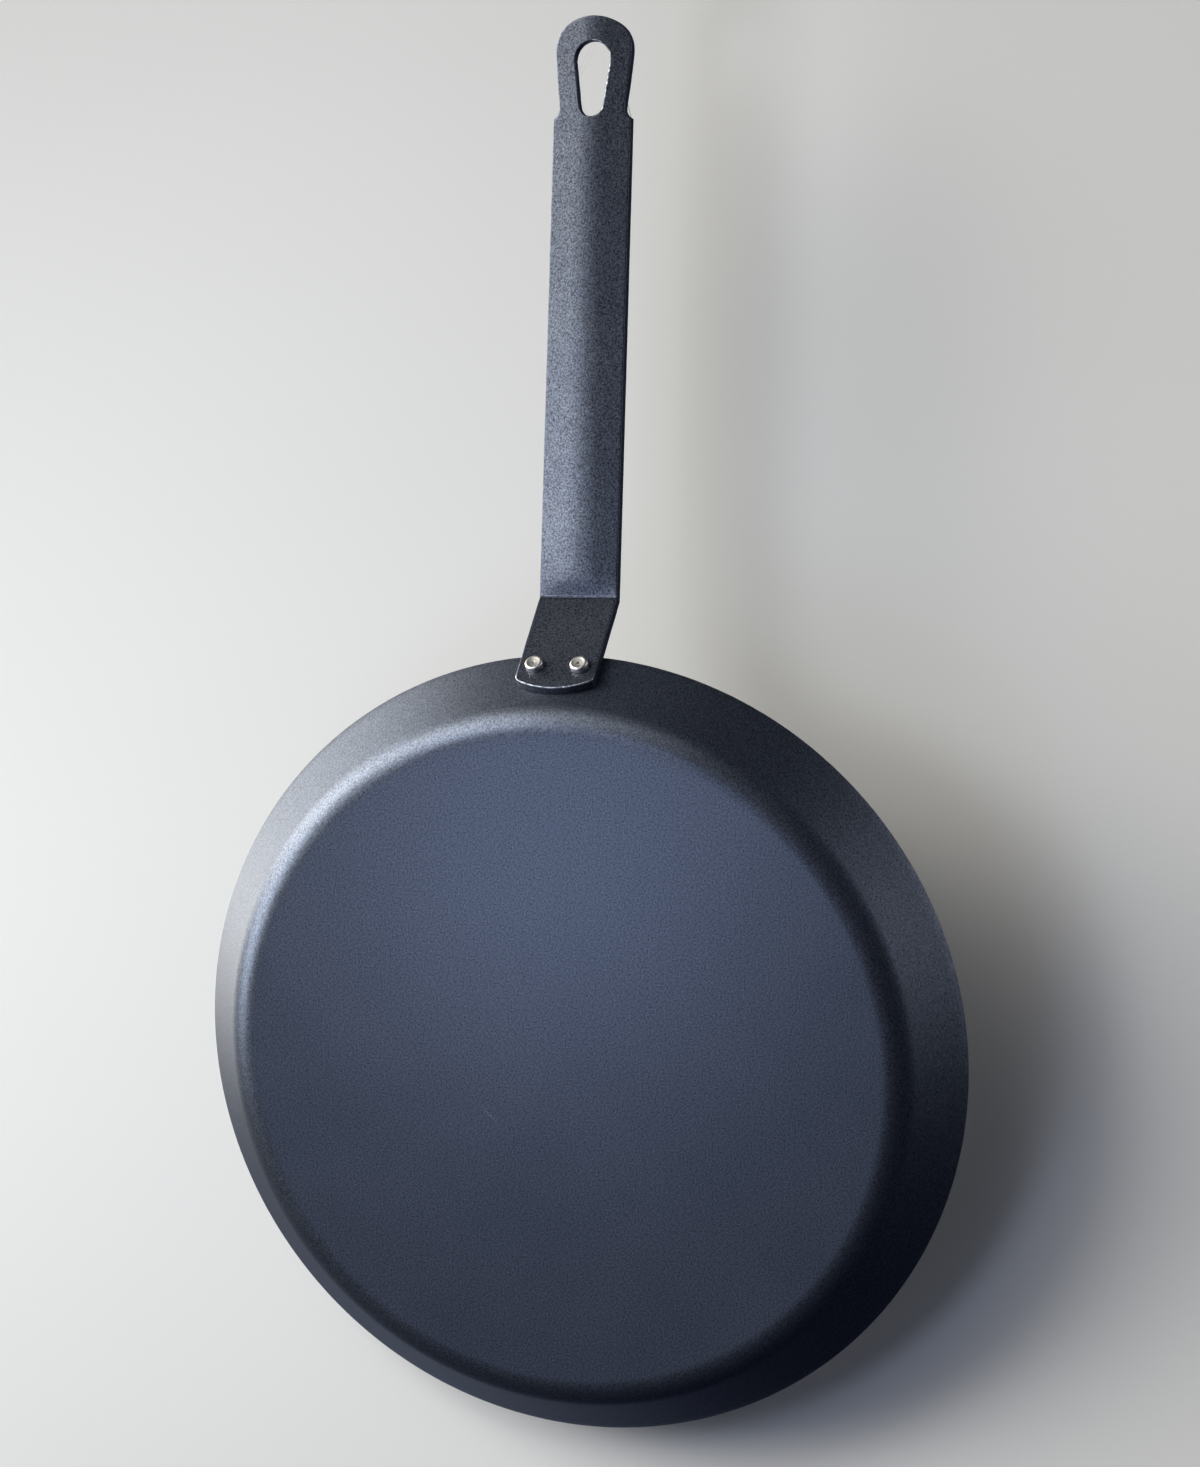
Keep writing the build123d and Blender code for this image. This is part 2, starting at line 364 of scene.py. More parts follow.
def pan_steel():
    """Satin blue-black oxide with a fine grain."""
    dark, light = rgb(0.063, 0.072, 0.092), rgb(0.070, 0.080, 0.102)
    cloud_tint = rgb(0.073, 0.080, 0.098)
    mark_tint = rgb(0.34, 0.37, 0.42)
    rub_tint = rgb(0.30, 0.31, 0.33)

    mat, nodes = material("pan_steel_satin_black", (0.06, 0.07, 0.09, 1))
    coords = nodes.coords()
    grain = nodes.noise(coords, scale=1500, detail=2.0, rough=0.55)
    fine = nodes.noise(coords, scale=3600, detail=2.0, rough=0.6)
    patch = nodes.noise(coords, scale=26, detail=4.0, rough=0.55)
    cloud = nodes.noise(coords, scale=7, detail=3.0, rough=0.5)
    # long, very faint drawing marks left by the press
    drawn = nodes.mapping(coords, rot=(0, 0, 0.5), scale=(0.06, 1, 0.5))
    streak = nodes.noise(drawn, scale=900, detail=2.0, rough=0.5)

    color = nodes.mix(nodes.step(patch, zero=0.2, one=0.8), dark, light)
    cloudy = nodes.mul(nodes.step(cloud, zero=0.45, one=0.75), 0.35)
    color = nodes.mix(cloudy, color, cloud_tint)
    gain = nodes.grain_gain(grain, coarse_gain=2.3, fine=fine, fine_gain=1.9, least=0.3)
    gain = nodes.mul(gain, nodes.add(nodes.swing(streak, gain=0.10), 1.0))
    color = nodes.scale(color, gain)

    # each kind of mark has its own strength
    scratched = nodes.mul(underside_scratches(nodes, coords), 0.55)
    marks = nodes.max(scratched, nodes.mul(hairlines(nodes, coords), 0.05))
    specks = nodes.specks(coords, scale=210, radius=0.035, share=0.10)
    marks = nodes.max(marks, nodes.mul(specks, 0.5))
    color = nodes.mix(marks, color, mark_tint)

    # the cut rim is rubbed a little lighter in places
    places = nodes.noise(coords, scale=300, detail=3.0, rough=0.6)
    rub = nodes.mul(nodes.attribute("edge"), nodes.step(places, zero=0.50, one=0.72))
    color = nodes.mix(nodes.mul(rub, 0.18), color, rub_tint)

    # roughness: a base, a little variation, and smoother marks
    rough = nodes.add(0.375, nodes.swing(patch, gain=0.06))
    rough = nodes.add(rough, nodes.swing(grain, gain=0.06))
    rough = nodes.sub(rough, nodes.mul(marks, 0.1), clamp=True)
    normal = nodes.bump(grain, strength=0.4, distance=0.000012)
    normal = nodes.bump(fine, strength=0.4, distance=0.000015, normal=normal)
    normal = nodes.bump(marks, strength=-0.4, distance=0.00003, normal=normal)
    nodes.finish(color, metallic=0.82, rough=rough, normal=normal)
    return mat


# ---------------------------------------------------------------- handle coat
def handle_coat():
    """Baked grey-black powder, grainy, worn to bare metal on the edges."""
    dark, light = rgb(0.059, 0.066, 0.085), rgb(0.074, 0.082, 0.101)
    speck_tint = rgb(0.30, 0.33, 0.37)
    dust_tint = rgb(0.50, 0.50, 0.50)
    bare_tint = rgb(0.58, 0.60, 0.64)

    mat, nodes = material("handle_grainy_coat", (0.08, 0.09, 0.11, 1))
    coords = nodes.coords()
    grain = nodes.noise(coords, scale=1450, detail=2.0, rough=0.55)
    fine = nodes.noise(coords, scale=3300, detail=2.0, rough=0.6)
    patch = nodes.noise(coords, scale=45, detail=4.0, rough=0.55)
    specks = nodes.specks(coords, scale=420, radius=0.06, share=0.16)
    moved = nodes.mapping(coords, loc=(3, 1, 2))
    dust = nodes.specks(moved, scale=170, radius=0.035, share=0.14)

    color = nodes.mix(nodes.step(patch, zero=0.3, one=0.75), dark, light)
    gain = nodes.grain_gain(grain, coarse_gain=3.3, fine=fine, fine_gain=2.7, least=0.25)
    # painted shade: the colour is darkened in a band just below the crease, where the bend
    # shades the tab
    crease_darkening = nodes.mul(nodes.attribute("painted_crease_shade"), 0.72)
    gain = nodes.mul(gain, nodes.sub(1.0, crease_darkening))
    color = nodes.scale(color, gain)
    color = nodes.mix(nodes.mul(specks, 0.16), color, speck_tint)
    color = nodes.mix(nodes.mul(dust, 0.6), color, dust_tint)

    # bare metal, broken up by a coarse and a fine noise; each leaves a least share bare
    coarse_wear = nodes.noise(coords, scale=420, detail=3.0, rough=0.65)
    fine_wear = nodes.noise(coords, scale=1500, detail=2.0, rough=0.6)
    coarse_wear = nodes.step(coarse_wear, zero=0.40, one=0.62)
    fine_wear = nodes.step(fine_wear, zero=0.40, one=0.62)
    # edge and wear also carry the crease's lip, so part of the bare metal there is a painted
    # highlight
    bare = nodes.mul(nodes.attribute("edge"), nodes.attribute("wear_and_lip_highlight"))
    bare = nodes.step(bare, zero=0.12, one=0.62)
    bare = nodes.mul(bare, nodes.add(0.22, nodes.mul(coarse_wear, 0.78)))
    bare = nodes.mul(bare, nodes.add(0.40, nodes.mul(fine_wear, 0.60)), clamp=True)
    color = nodes.mix(bare, color, bare_tint)

    metallic = nodes.mix_float(bare, base=0.90, over=1.0)
    rough = nodes.add(0.41, nodes.swing(grain, gain=0.14))
    rough = nodes.mix_float(bare, base=rough, over=0.42)
    normal = nodes.bump(grain, strength=0.6, distance=0.00002)
    normal = nodes.bump(fine, strength=0.5, distance=0.00001, normal=normal)
    normal = nodes.bump(patch, strength=0.3, distance=0.00003, normal=normal)
    normal = nodes.bump(bare, strength=-0.3, distance=0.00004, normal=normal)
    nodes.finish(color, metallic, rough, normal)
    return mat


# ---------------------------------------------------------------- rivet steel
def rivet_steel():
    """Dull nickel-bright steel with grime in the hollows."""
    dark, light = rgb(0.50, 0.475, 0.435), rgb(0.76, 0.735, 0.69)
    grime_tint = rgb(0.085, 0.075, 0.068)

    mat, nodes = material("rivet_bright_steel", (0.6, 0.58, 0.54, 1))
    coords = nodes.coords()
    mottle = nodes.noise(coords, scale=700, detail=4.0, rough=0.6)
    fine = nodes.noise(coords, scale=2600, detail=2.0, rough=0.6)
    color = nodes.mix(nodes.step(mottle, zero=0.32, one=0.7), dark, light)
    places = nodes.noise(coords, scale=480, detail=3.0, rough=0.6)
    grime = nodes.mul(nodes.attribute("pit"), nodes.step(places, zero=0.22, one=0.52))
    color = nodes.mix(grime, color, grime_tint)
    # roughness: a base, plus shares from the mottle and the grime
    rough = nodes.add(0.32, nodes.mul(mottle, 0.14))
    rough = nodes.add(rough, nodes.mul(grime, 0.22))
    normal = nodes.bump(mottle, strength=0.4, distance=0.00003)
    normal = nodes.bump(fine, strength=0.35, distance=0.00001, normal=normal)
    nodes.finish(color, nodes.mix_float(grime, base=1.0, over=0.6), rough, normal)
    return mat


mat_pan, mat_handle, mat_rivet = pan_steel(), handle_coat(), rivet_steel()

# ---------------------------------------------------------------- pan body
FLAT_RADII = (0, 8, 20, 35, 50, 65, 80, 92, 101, 107, 111, 113.5)  # rings on the base
WAVE_START = 118  # radius where the rim's waviness begins
# Height, turns round the rim, phase.
WAVES = ((0.10, 2, 0.6), (0.05, 3, 2.0), (0.03, 5, 4.1))


def pan_profile():
    """(radius, height, edge) from the middle of the underside round to the middle inside."""
    sin_wall, cos_wall = math.sin(WALL), math.cos(WALL)
    inwards = np.array([-sin_wall, cos_wall])  # from the wall's outer face to its inner one
    up = np.array([cos_wall, sin_wall])
    rows = [(r, 0, 0) for r in FLAT_RADII]

    def knuckle(radius, angle):
        x = BASE_R + radius * math.sin(angle)
        rows.append((x, KNUCKLE - radius * math.cos(angle), 0))

    def straight(end, last_edge):
        start = np.array(rows[-1][:2])
        for i in range(1, 9):
            rows.append((*(start + (end - start) * (i / 8)), 0 if i < 8 else last_edge))

    def rim_corner(centre, side, degrees):
        angle = math.radians(degrees)
        reach = side * RIM_ROUND * math.cos(angle)
        rows.append((*(centre + reach * inwards + RIM_ROUND * math.sin(angle) * up), 1.0))

    for i in range(29):
        knuckle(KNUCKLE, WALL * i / 28)
    outer_top = np.array(RIM_OUT) - RIM_ROUND * up
    straight(outer_top, last_edge=0.5)
    outer_centre = outer_top + RIM_ROUND * inwards
    inner_centre = outer_top + (SHEET - RIM_ROUND) * inwards
    for i in range(1, 7):
        rim_corner(outer_centre, -1, 90 * i / 6)
    rows.append((*((outer_centre + inner_centre) / 2 + RIM_ROUND * up), 0.9))
    for i in range(7):
        rim_corner(inner_centre, 1, 90 - 90 * i / 6)
    inner_r = KNUCKLE - SHEET
    inner_foot = np.array([BASE_R + inner_r * sin_wall, KNUCKLE - inner_r * cos_wall])
    straight(inner_foot, last_edge=0)
    for i in range(1, 25):
        knuckle(inner_r, WALL * (1 - i / 24))
    return rows + [(r, SHEET, 0) for r in reversed(FLAT_RADII)]


def build_pan():
    verts, faces, edge = lathe(pan_profile(), 512)
    # the pressed sheet is never quite true: a slow waviness that fades towards the base
    radius = np.hypot(verts[:, 0], verts[:, 1])
    theta = np.arctan2(verts[:, 1], verts[:, 0])
    share = np.clip((radius - WAVE_START) / (RIM_R - WAVE_START), 0, 1) ** 1.5
    wave = sum(height * np.sin(turns * theta + phase) for height, turns, phase in WAVES)
    verts[:, 2] += wave * share
    pan = make_mesh("pan_body_visual", verts, faces, mat_pan, {"edge": edge})
    stand_in(pan, "pan_body")


build_pan()

# ---------------------------------------------------------------- handle outline, (u, v) in mm
TAB_END_R = 28.5
TAB_CORNER_LEFT, TAB_CORNER_RIGHT = 3.0, 1.9
NECK_U, NECK_V = 171.2, 12.05  # where the shoulder's concave arc meets the neck
SHOULDER_R, SHOULDER_ROUND = 3.4, 0.55  # the concave arc and the small round before it
# Half outline of the end loop, from the neck to the tip.
END_LOOP = [
    (NECK_U, NECK_V), (177.0, 12.6), (183.5, 13.3), (189.0, 13.8), (193.5, 13.85),
    (197.7, 12.6), (200.6, 10.3), (202.9, 6.2), (204.0, 0),
]
# The slot's two round ends: centre u, radius.
SLOT_TOP = (188.6, 6.5)
SLOT_FOOT = (173.0, 4.4)
STEP = 0.42  # spacing along the outlines
# Closer rows of points across the crease.
_fine, _wide = np.arange(-1.2, 1.21, 0.1), np.arange(1.4, 4.01, 0.2)
CREASE_ROWS = np.unique(
    np.round(np.concatenate([_fine, _wide, -_wide, [-0.05, 0.05, -0.15, 0.15]]), 3)
)


def clamped_spline(points, start_slope, end_slope, spacing):
    """A cubic spline through points with given end tangents, sampled evenly."""
    knots = np.array(points, float)
    dist = np.concatenate([[0], np.cumsum(np.hypot(*np.diff(knots, axis=0).T))])
    count = len(knots)
    gaps = np.diff(dist)
    system = np.zeros((count, count))
    rhs = np.zeros((count, 2))
    system[0, 0] = system[-1, -1] = 1
    rhs[0], rhs[-1] = start_slope, end_slope
    for i in range(1, count - 1):
        before, after = gaps[i - 1], gaps[i]
        system[i, i - 1 : i + 2] = 1 / before, 2 * (1 / before + 1 / after), 1 / after
        rhs[i] = 3 * (
            (knots[i] - knots[i - 1]) / before**2 + (knots[i + 1] - knots[i]) / after**2
        )
    slopes = np.linalg.solve(system, rhs)
    samples = np.linspace(0, dist[-1], int(dist[-1] / spacing) + 2)
    j = np.clip(np.searchsorted(dist, samples, side="right") - 1, 0, count - 2)
    x = ((samples - dist[j]) / gaps[j])[:, None]
    gap = gaps[j][:, None]
    out = (
        (2 * x**3 - 3 * x**2 + 1) * knots[j]
        + (x**3 - 2 * x**2 + x) * gap * slopes[j]
        + (-2 * x**3 + 3 * x**2) * knots[j + 1]
        + (x**3 - x**2) * gap * slopes[j + 1]
    )
    return [tuple(point) for point in out]


def half_outline(corner_r):
    """The strip's outline for v > 0, from the middle of the tab's end to the tip."""
    end_u = -TAB_LEN + TAB_END_R
    corner_v = HALF - corner_r
    corner_u = end_u - math.sqrt((TAB_END_R - corner_r) ** 2 - corner_v**2)
    turn = math.degrees(math.atan2(corner_v, corner_u - end_u))
    end_count = int(TAB_END_R * math.radians(180 - turn) / STEP) + 2
    points = arc(end_u, 0, TAB_END_R, 180, turn, end_count)
    points += arc(corner_u, corner_v, corner_r, turn, 90, max(10, int(corner_r * 4)))[1:]

    # the small round is tangent to the side and touches the concave arc from outside
    hollow_v = NECK_V + SHOULDER_R
    round_v = HALF - SHOULDER_ROUND
    reach = (SHOULDER_R + SHOULDER_ROUND) ** 2 - (hollow_v - round_v) ** 2
    round_u = NECK_U - math.sqrt(reach)
    touch = math.degrees(math.atan2(hollow_v - round_v, NECK_U - round_u))
    side_u = np.concatenate([
        np.arange(corner_u + STEP, -4.2, STEP),
        CREASE_ROWS,
        np.arange(4.4, round_u - 0.2, STEP),
    ])
    points += [(u, HALF) for u in side_u]
    points += arc(round_u, round_v, SHOULDER_ROUND, 90, touch, 8)
    start = math.degrees(math.atan2(round_v - hollow_v, round_u - NECK_U)) % 360
    points += arc(NECK_U, hollow_v, SHOULDER_R, start, 270, 14)[1:]
    return points + clamped_spline(END_LOOP, (1, 0), (0, -1), 0.34)[1:]


def outer_loop():
    """Counter-clockwise: tab's end, -v side, tip, +v side and back."""
    left = [(u, -v) for u, v in half_outline(TAB_CORNER_LEFT)]
    return np.array(left + half_outline(TAB_CORNER_RIGHT)[-2:0:-1])


def slot_loop():
    """Clockwise, so that the material is on the left."""
    (top_u, top_r), (foot_u, foot_r) = SLOT_TOP, SLOT_FOOT
    lean = math.degrees(math.asin((top_r - foot_r) / (top_u - foot_u)))
    top = arc(top_u, 0, top_r, 90 + lean, -(90 + lean), 52)
    foot = arc(foot_u, 0, foot_r, -(90 + lean), -(270 - lean), 34)

    def between(start, end):
        du, dv = end[0] - start[0], end[1] - start[1]
        count = int(math.hypot(du, dv) / STEP)
        return [(start[0] + du * i / count, start[1] + dv * i / count) for i in range(1, count)]

    return np.array(top + between(top[-1], foot[0]) + foot + between(foot[-1], top[0]))


def inward(loop):
    """Unit normals to the left of a closed loop: into the material."""
    tangent = np.roll(loop, -1, 0) - np.roll(loop, 1, 0)
    tangent /= np.linalg.norm(tangent, axis=1)[:, None]
    return np.stack([-tangent[:, 1], tangent[:, 0]], 1)


# ---------------------------------------------------------------- handle section
# The grip is pressed to a shallow V below: u, slope of the flanks in degrees,
# half width of the rounded ridge in mm.
V_AT, V_SLOPE, V_RIDGE = np.array([
    (0.0, 0.0, 9.0), (1.0, 1.4, 8.6), (2.0, 3.0, 8.2),
    (4.0, 6.0, 7.6), (6.0, 7.8, 7.2), (9.0, 8.7, 6.9),
    (14.0, 9.0, 6.7), (22.0, 9.0, 6.6), (210.0, 9.0, 3.8),
]).T
GRID_STEP_U = 0.2
GRID_U = np.linspace(0, 210, 1051)
GRID_V = np.linspace(-HALF - 1, HALF + 1, 611)
GRID_STEP_V = GRID_V[1] - GRID_V[0]
BEND = 0.13  # half length of the crease's small round


def bell(x, centre, width):
    return np.exp(-(((x - centre) / width) ** 2))


def kernel(half, spacing, sigma):
    weights = np.exp(-0.5 * (np.arange(-half, half + 1) * spacing / sigma) ** 2)
    return weights / weights.sum()


def v_table():
    """The lower face's height over (u, v), smoothed so that the press leaves no hard lines."""
    slope = np.interp(GRID_U, V_AT, V_SLOPE)
    slope = np.convolve(np.pad(slope, 20, mode="edge"), kernel(20, 1, 4.0), "valid")
    slope *= np.clip(GRID_U, 0, 1)
    angle = np.radians(np.maximum(slope, 1e-4))[:, None]
    v = np.abs(GRID_V)[None, :]
    ridge = np.interp(GRID_U, V_AT, V_RIDGE)[:, None]
    radius = ridge / np.sin(angle)
    flank = -(HALF - v) * np.tan(angle)
    sag = np.sqrt(np.maximum(radius**2 - v**2, 0)) - radius * np.cos(angle)
    height = np.where(v >= ridge, flank, -(HALF - ridge) * np.tan(angle) - sag)
    smooth = kernel(30, GRID_STEP_V, 0.75)
    padded = np.pad(height, ((0, 0), (30, 30)), mode="reflect", reflect_type="odd")
    return np.stack([np.convolve(row, smooth, "valid") for row in padded])


V_TABLE = v_table()


def low_height(u, v):
    """Height of the lower face above the side edges' plane."""
    fu = np.clip(u / GRID_STEP_U, 0, len(GRID_U) - 1 - 1e-6)
    fv = np.clip((v - GRID_V[0]) / GRID_STEP_V, 0, len(GRID_V) - 1 - 1e-6)
    i, j = fu.astype(int), fv.astype(int)
    x, y = fu - i, fv - j
    near = V_TABLE[i, j] * (1 - x) + V_TABLE[i + 1, j] * x
    far = V_TABLE[i, j + 1] * (1 - x) + V_TABLE[i + 1, j + 1] * x
    height = np.where(u > 0, near * (1 - y) + far * y, 0.0)
    # the crease's thrown-up lip on the grip side and the nip on the tab side
    uneven = 1 + 0.35 * np.sin(v * 1.7 + 1) * np.sin(v * 0.53)
    lip = 0.10 * bell(u, 0.50, 0.26) * uneven
    nip = 0.13 * bell(u, -0.30, 0.26)
    return height - lip + nip


def thickness(v):
    return THICK + SADDLE * (v / HALF) ** 2


def place(u, v, h):
    """Strip (u, v, h) to the bent handle's xyz; h is above the strip's lower edges."""
    share = np.clip((u + BEND) / (2 * BEND), 0, 1)
    on_bend = np.where(u < BEND, -BEND * (1 - share) ** 2, 0)
    along_tab = np.where(u < -BEND, u, on_bend)
    on_bend = np.where(u > -BEND, BEND * share**2, 0)
    along_grip = np.where(u > BEND, u, on_bend)
    crease_x, crease_z = by_wall(RIM_TO_CREASE, THICK)
    crease = np.array([crease_x, 0, crease_z])
    path = crease + along_tab[:, None] * TAB_DIR + along_grip[:, None] * GRIP_DIR
    # the upward direction turns more slowly than the lower face
    turn = np.clip((u + 2.0) / 4.0, 0, 1)
    turn = turn * turn * (3 - 2 * turn)
    angle = WALL + (GRIP - WALL) * turn
    up = np.stack([-np.sin(angle), np.zeros_like(angle), np.cos(angle)], 1)
    out = path + h[:, None] * up
    out[:, 1] = v
    return out


# ---------------------------------------------------------------- handle mesh
EDGE_R = 0.42  # rounding of the sheared edges
INSET = 0.62  # from the cut to where both faces begin
FACE_GAP = 0.66  # spacing of the faces' grid
# Rounded edge: degrees from the face to the side, edge mark.
EDGE_ARC = ((90, 0.75), (68, 1.0), (46, 1.0), (24, 1.0), (0, 0.75))
# Down the side, smooth and then torn: share of the thickness, depth of the tear in mm.
SIDE_BANDS = ((0.30, 0.0), (0.55, 0.02), (0.78, 0.05))
outer, slot = outer_loop(), slot_loop()
# Per cut: loop, seed, wander of the cut (waves, mm), waves of the nicks, nicks' share of EDGE_R.
CUTS = (
    (outer, 3, [(40, 0.020), (110, 0.012)], (260, 420), 0.15),
    (slot, 5, [(9, 0.035), (23, 0.035), (47, 0.030)], (31, 57), 0.5),
)


def inside(points, loop):
    """True for each point inside a closed loop."""
    start, end = loop[None], np.roll(loop, -1, 0)[None]
    result = np.zeros(len(points), bool)
    for k in range(0, len(points), 4000):
        x, y = points[k : k + 4000, 0][:, None], points[k : k + 4000, 1][:, None]
        spans = (start[..., 1] > y) != (end[..., 1] > y)
        with np.errstate(divide="ignore", invalid="ignore"):
            run = (end[..., 0] - start[..., 0]) * (y - start[..., 1])
            cross = run / (end[..., 1] - start[..., 1]) + start[..., 0]
        result[k : k + 4000] = (np.sum(spans & (x < cross), axis=1) % 2) == 1
    return result


def nearest(points, loop):
    """Distance from each point to the loop's closest vertex."""
    dist = np.empty(len(points))
    for k in range(0, len(points), 2000):
        apart = points[k : k + 2000][:, None, :] - loop[None, :, :]
        dist[k : k + 2000] = np.sqrt((apart**2).sum(2).min(1))
    return dist


def in_strip(points, outer_edge, slot_edge):
    return inside(points, outer_edge) & ~inside(points, slot_edge)


def smooth_noise(count, waves, seed):
    draw = np.random.default_rng(seed)
    x = np.arange(count) / count * 2 * math.pi
    out = np.zeros(count)
    for turns, size in waves:
        for _ in range(3):
            out += size * np.sin(x * (turns + draw.integers(-3, 4)) + draw.uniform(0, 6.28)) / 3
    return out


def cut_rings(loop, seed, wander_waves, nick_waves, nick_share):
    """Rings of (points, heights, edge mark) from the lower face round the cut to the upper."""
    count = len(loop)
    normals = inward(loop)
    # sheared edges are not machined: the cut wanders by a few hundredths
    loop = loop + normals * smooth_noise(count, wander_waves, seed)[:, None]
    nick = np.clip(smooth_noise(count, [(turns, 0.5) for turns in nick_waves], seed + 1), 0, 1)
    radius = np.minimum(EDGE_R * (1 + nick_share * nick), INSET)
    inner = loop + normals * INSET

    def rounded(degrees):
        angle = math.radians(degrees)
        points = loop + normals * (radius * (1 - math.cos(angle)))[:, None]
        return points, low_height(points[:, 0], points[:, 1]), radius * (1 - math.sin(angle))

    inner_low = low_height(inner[:, 0], inner[:, 1])
    rings = [(inner, inner_low, 0.0)]
    for degrees, mark in EDGE_ARC:
        points, low, rise = rounded(degrees)
        rings.append((points, low + rise, mark))
    low = low_height(loop[:, 0], loop[:, 1])
    full = thickness(loop[:, 1])
    for share, tear in SIDE_BANDS:
        depth = tear * (1 + 0.8 * np.sin(np.arange(count) * 0.9))
        rings.append((loop + normals * depth[:, None], low + full * share, 0.12))
    for degrees, mark in reversed(EDGE_ARC):
        points, low, rise = rounded(degrees)
        rings.append((points, low + thickness(points[:, 1]) - rise, mark))
    rings.append((inner, inner_low + thickness(inner[:, 1]), 0.0))
    return rings


def triangulate(outer_edge, slot_edge):
    """The grid inside both faces, and the plan's triangles over edges and grid."""
    us = np.unique(np.round(np.concatenate([
        np.arange(-TAB_LEN, -4.1, FACE_GAP), CREASE_ROWS, np.arange(4.5, 204, FACE_GAP)
    ]), 4))
    grid_u, grid_v = np.meshgrid(us, np.linspace(-13.2, 13.2, 41), indexing="ij")
    grid = np.stack([grid_u.ravel(), grid_v.ravel()], 1)
    grid = grid[in_strip(grid, outer_edge, slot_edge)]
    grid = grid[(nearest(grid, outer_edge) > 0.30) & (nearest(grid, slot_edge) > 0.30)]
    plan = np.vstack([outer_edge, slot_edge, grid])
    borders = []
    for start, count in ((0, len(outer_edge)), (len(outer_edge), len(slot_edge))):
        borders += [(start + i, start + (i + 1) % count) for i in range(count)]
    points = [Vector((float(u), float(v))) for u, v in plan]
    result = delaunay_2d_cdt(points, borders, [], 0, 1e-6, True)
    verts = np.array([tuple(point) for point in result[0]])
    tris = np.array(result[2])
    source = np.array([ids[0] if ids else -1 for ids in result[3]])
    tris = tris[in_strip(verts[tris].mean(1), outer_edge, slot_edge)]
    first, second, third = (verts[tris[:, k]] for k in range(3))
    side, other = second - first, third - first
    area = side[:, 0] * other[:, 1] - other[:, 0] * side[:, 1]
    tris[area < 0] = tris[area < 0][:, ::-1]
    tris = tris[np.abs(area) > 1e-9]
    return grid, source[tris]


def handle_mesh():
    """(u, v) points, heights, edge marks and faces of the flat strip."""
    parts, faces, edges = [], [], []
    low_ids, high_ids = [], []
    start = 0
    for cut in CUTS:
        rings = cut_rings(*cut)
        count = len(cut[0])
        for k in range(len(rings) - 1):
            here, after = start + k * count, start + (k + 1) * count
            for i in range(count):
                j = (i + 1) % count
                faces.append((here + i, here + j, after + j, after + i))
        low_ids.append(start + np.arange(count))
        start += len(rings) * count
        high_ids.append(start - count + np.arange(count))
        parts += rings
        edges.append(rings[0][0])

    # both faces share one triangulation of the plan
    grid, tris = triangulate(*edges)
    low = low_height(grid[:, 0], grid[:, 1])
    for ids, height, order in (
        (low_ids, low, -1),
        (high_ids, low + thickness(grid[:, 1]), 1),
    ):
        lookup = np.concatenate(ids + [start + np.arange(len(grid))])
        faces += [tuple(row) for row in lookup[tris][:, ::order].tolist()]
        parts.append((grid, height, 0.0))
        start += len(grid)
    points = np.concatenate([part[0] for part in parts])
    heights = np.concatenate([part[1] for part in parts])
    marks = np.concatenate([np.full(len(part[0]), part[2]) for part in parts])
    return points, heights, marks, faces


def coat_wear(points, h, lip):
    """Wear: the tab's end and left side strongly, the slot's lower lip in spots; also the
    crease's lip, partly wear and partly a painted highlight.
    """
    u, v = points.T
    is_low = h < 1.2
    tab = np.clip((-u - 33) / 5, 0, 1)
    wear_and_lip_highlight = np.maximum(0.10, np.where(is_low, 0.50 * tab, 0.12 * tab))
    left = (v < -13.2) & (u < -1) & is_low
    wear_and_lip_highlight = np.maximum(wear_and_lip_highlight, np.where(left, 0.26 + 0.36 * np.clip((-u - 24) / 14, 0, 1), 0))
    # the crease's lip: a bare-metal bright line, partly wear and partly a painted highlight of
    # the lit bend
    wear_and_lip_highlight = np.maximum(wear_and_lip_highlight, 0.42 * lip)
    by_slot = (nearest(points, slot) < 0.5) & is_low
    spots = (np.sin(u * 2.1) * np.sin(u * 0.77 + 2) > 0.25) & (v > 0)
    return np.where(by_slot, np.where(spots, 0.62, 0.13), wear_and_lip_highlight)


def build_handle():
    points, h, edge, faces = handle_mesh()
    u, v = points.T
    # lip: a line just above the crease, made bare-metal bright through edge and wear; partly
    # wear, partly a painted highlight of the lit bend
    lip = bell(u, 0.42, 0.30) * (h < 0.6)
    attrs = {
        "edge": np.maximum(edge, lip),
        "wear_and_lip_highlight": coat_wear(points, h, lip),
        # painted shade: a dark band on the tab's outer face just below the crease
        "painted_crease_shade": bell(u, -0.28, 0.30) * (h < 0.6),
    }
    handle = make_mesh("handle_visual", place(u, v, h), faces, mat_handle, attrs)
    stand_in(handle, "handle")


build_handle()

# ---------------------------------------------------------------- rivets, mm
RIVET_PITCH = 16.4
SHANK_R = 2.08
TAIL_R, TAIL_H, TAIL_DISH, TAIL_ROUND = 3.2, 2.2, 0.3, 0.75
HEAD_R, HEAD_H, HEAD_RIM = 5.25, 1.9, 0.5
DISH_R = 2.35
# Name, side in y, phase of the out-of-round, strength of the grime.
RIVETS = (("rivet_left", -1, 0.4, 0.62), ("rivet_right", 1, 2.3, 1.0))


